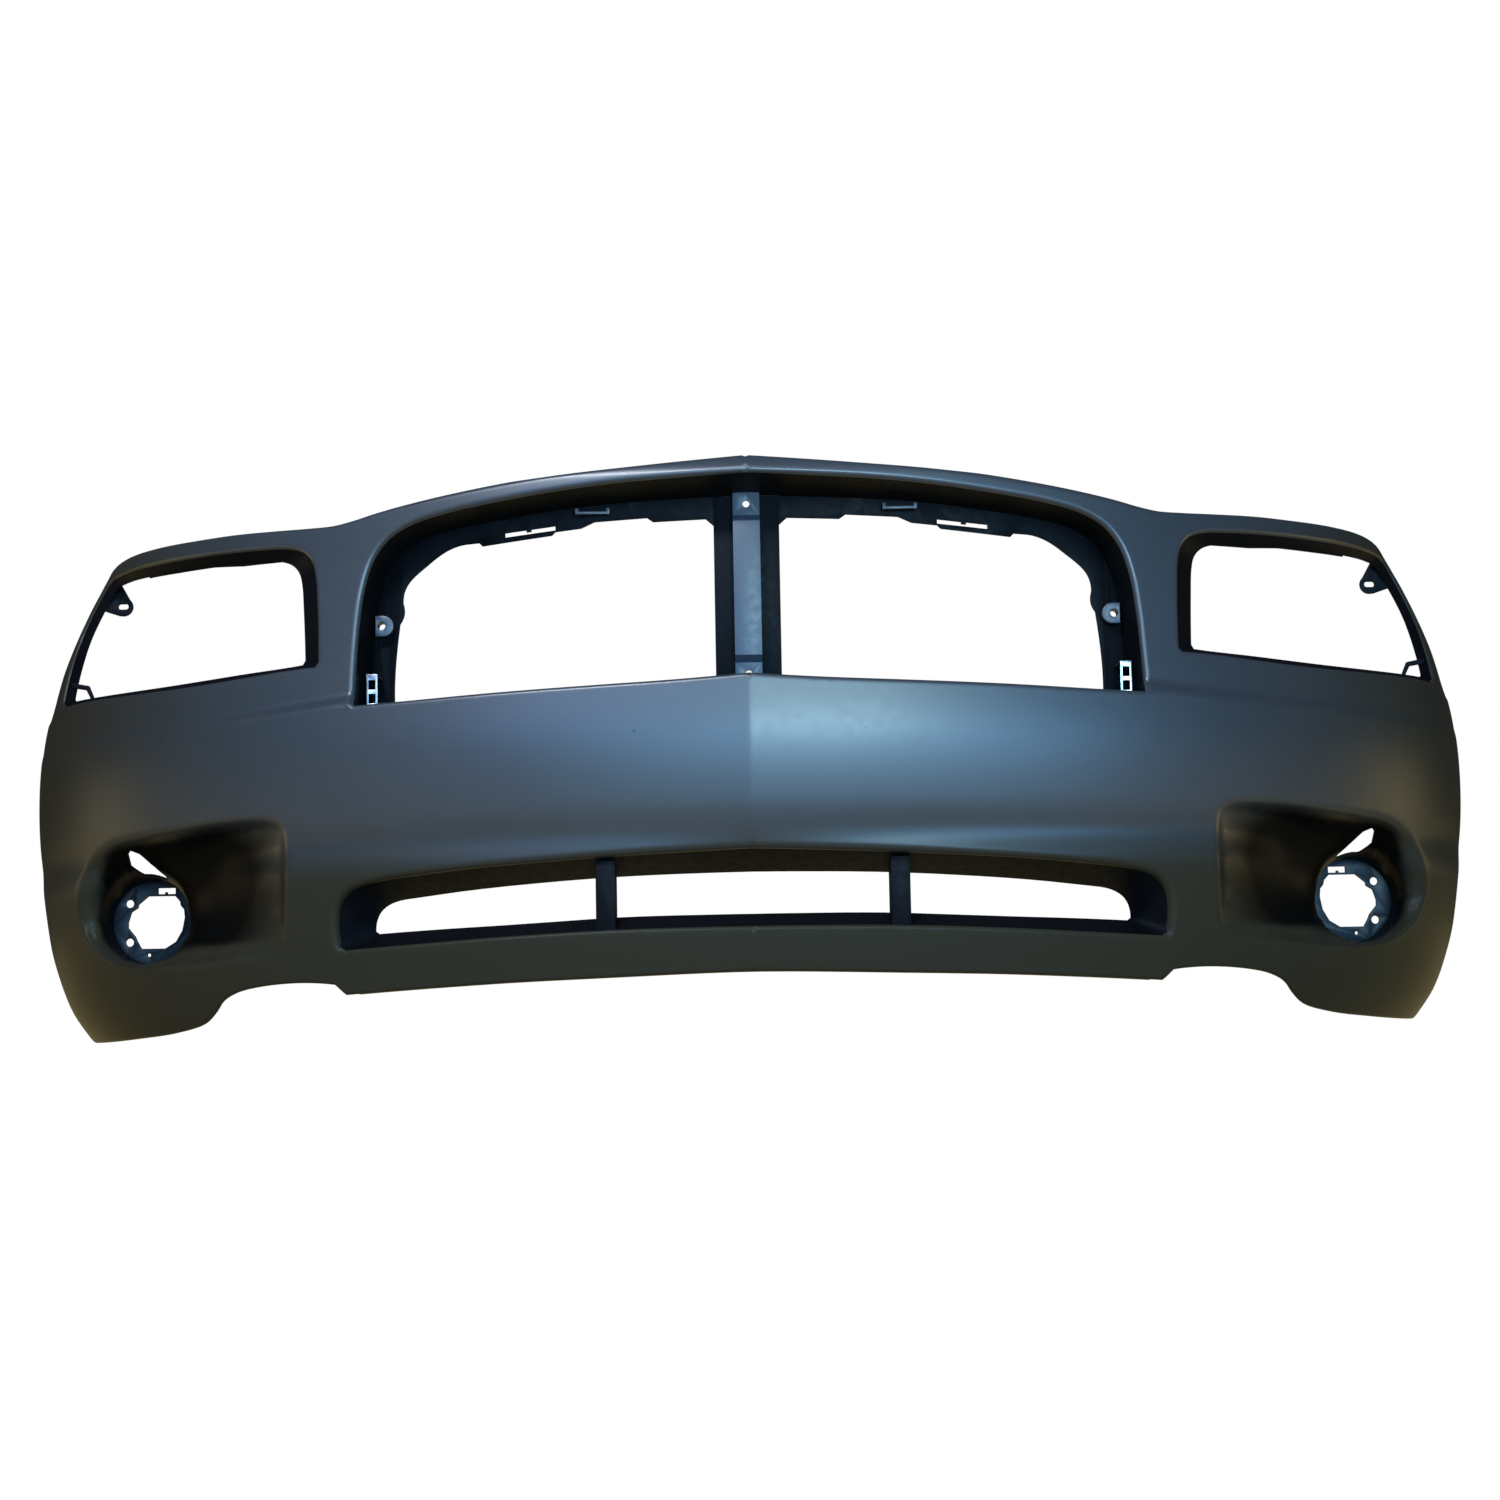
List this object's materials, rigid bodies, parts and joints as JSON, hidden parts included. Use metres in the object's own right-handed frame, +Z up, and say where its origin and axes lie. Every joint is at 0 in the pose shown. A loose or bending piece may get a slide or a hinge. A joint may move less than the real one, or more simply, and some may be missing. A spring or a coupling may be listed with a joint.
{
  "type": "front bumper cover",
  "caption": "Wide moulded front bumper cover with divided grille opening, framed headlamp openings, lower intake and fog lamp pockets.",
  "frame": {"origin": "midway between the two upper fixing holes, on the top face of their tabs", "axes": "+X to the car's left, across the cover; +Y to the rear of the car; +Z up. The cover's face looks towards -Y"},
  "size_m": [1.857, 0.6401, 0.658],
  "materials": {
    "primer": "satin dark blue-grey primer on a moulded plastic skin, fine even grain",
    "primed_return": "the same plastic, thinly covered and darker in the recesses and on the brackets",
    "retainer": "bright spring steel",
    "stake": "black melted plastic heads"
  },
  "bodies": {
    "root": {"fascia_skin": "primer", "grille_surround": "primed_return", "grille_centre_post": "primed_return", "intake_surround": "primed_return", "intake_flange": "primed_return", "lower_flange": "primed_return", "heat_stakes": "stake", "fog_lamp_scoop_left": "primer", "fog_lamp_scoop_right": "primer", "grille_flange_left": "primed_return", "grille_flange_right": "primed_return", "grille_ear_left": "primed_return", "grille_ear_right": "primed_return", "grille_side_clip_left": "retainer", "grille_side_clip_right": "retainer", "grille_top_clip_left": "retainer", "grille_top_clip_right": "retainer", "headlamp_surround_left": "primed_return", "headlamp_surround_right": "primed_return", "headlamp_bracket_left": "primed_return", "headlamp_bracket_right": "primed_return", "headlamp_corner_tab_left": "primed_return", "headlamp_corner_tab_right": "primed_return", "headlamp_side_hook_left": "primed_return", "headlamp_side_hook_right": "primed_return", "intake_rib_left": "primed_return", "intake_rib_right": "primed_return", "fog_lamp_ring_left": "primed_return", "fog_lamp_ring_right": "primed_return", "fender_flange_left": "primed_return", "fender_flange_right": "primed_return", "arch_flange_left": "primed_return", "arch_flange_right": "primed_return", "upper_tab_left": "primed_return", "upper_tab_right": "primed_return"}
  },
  "joints": []
}
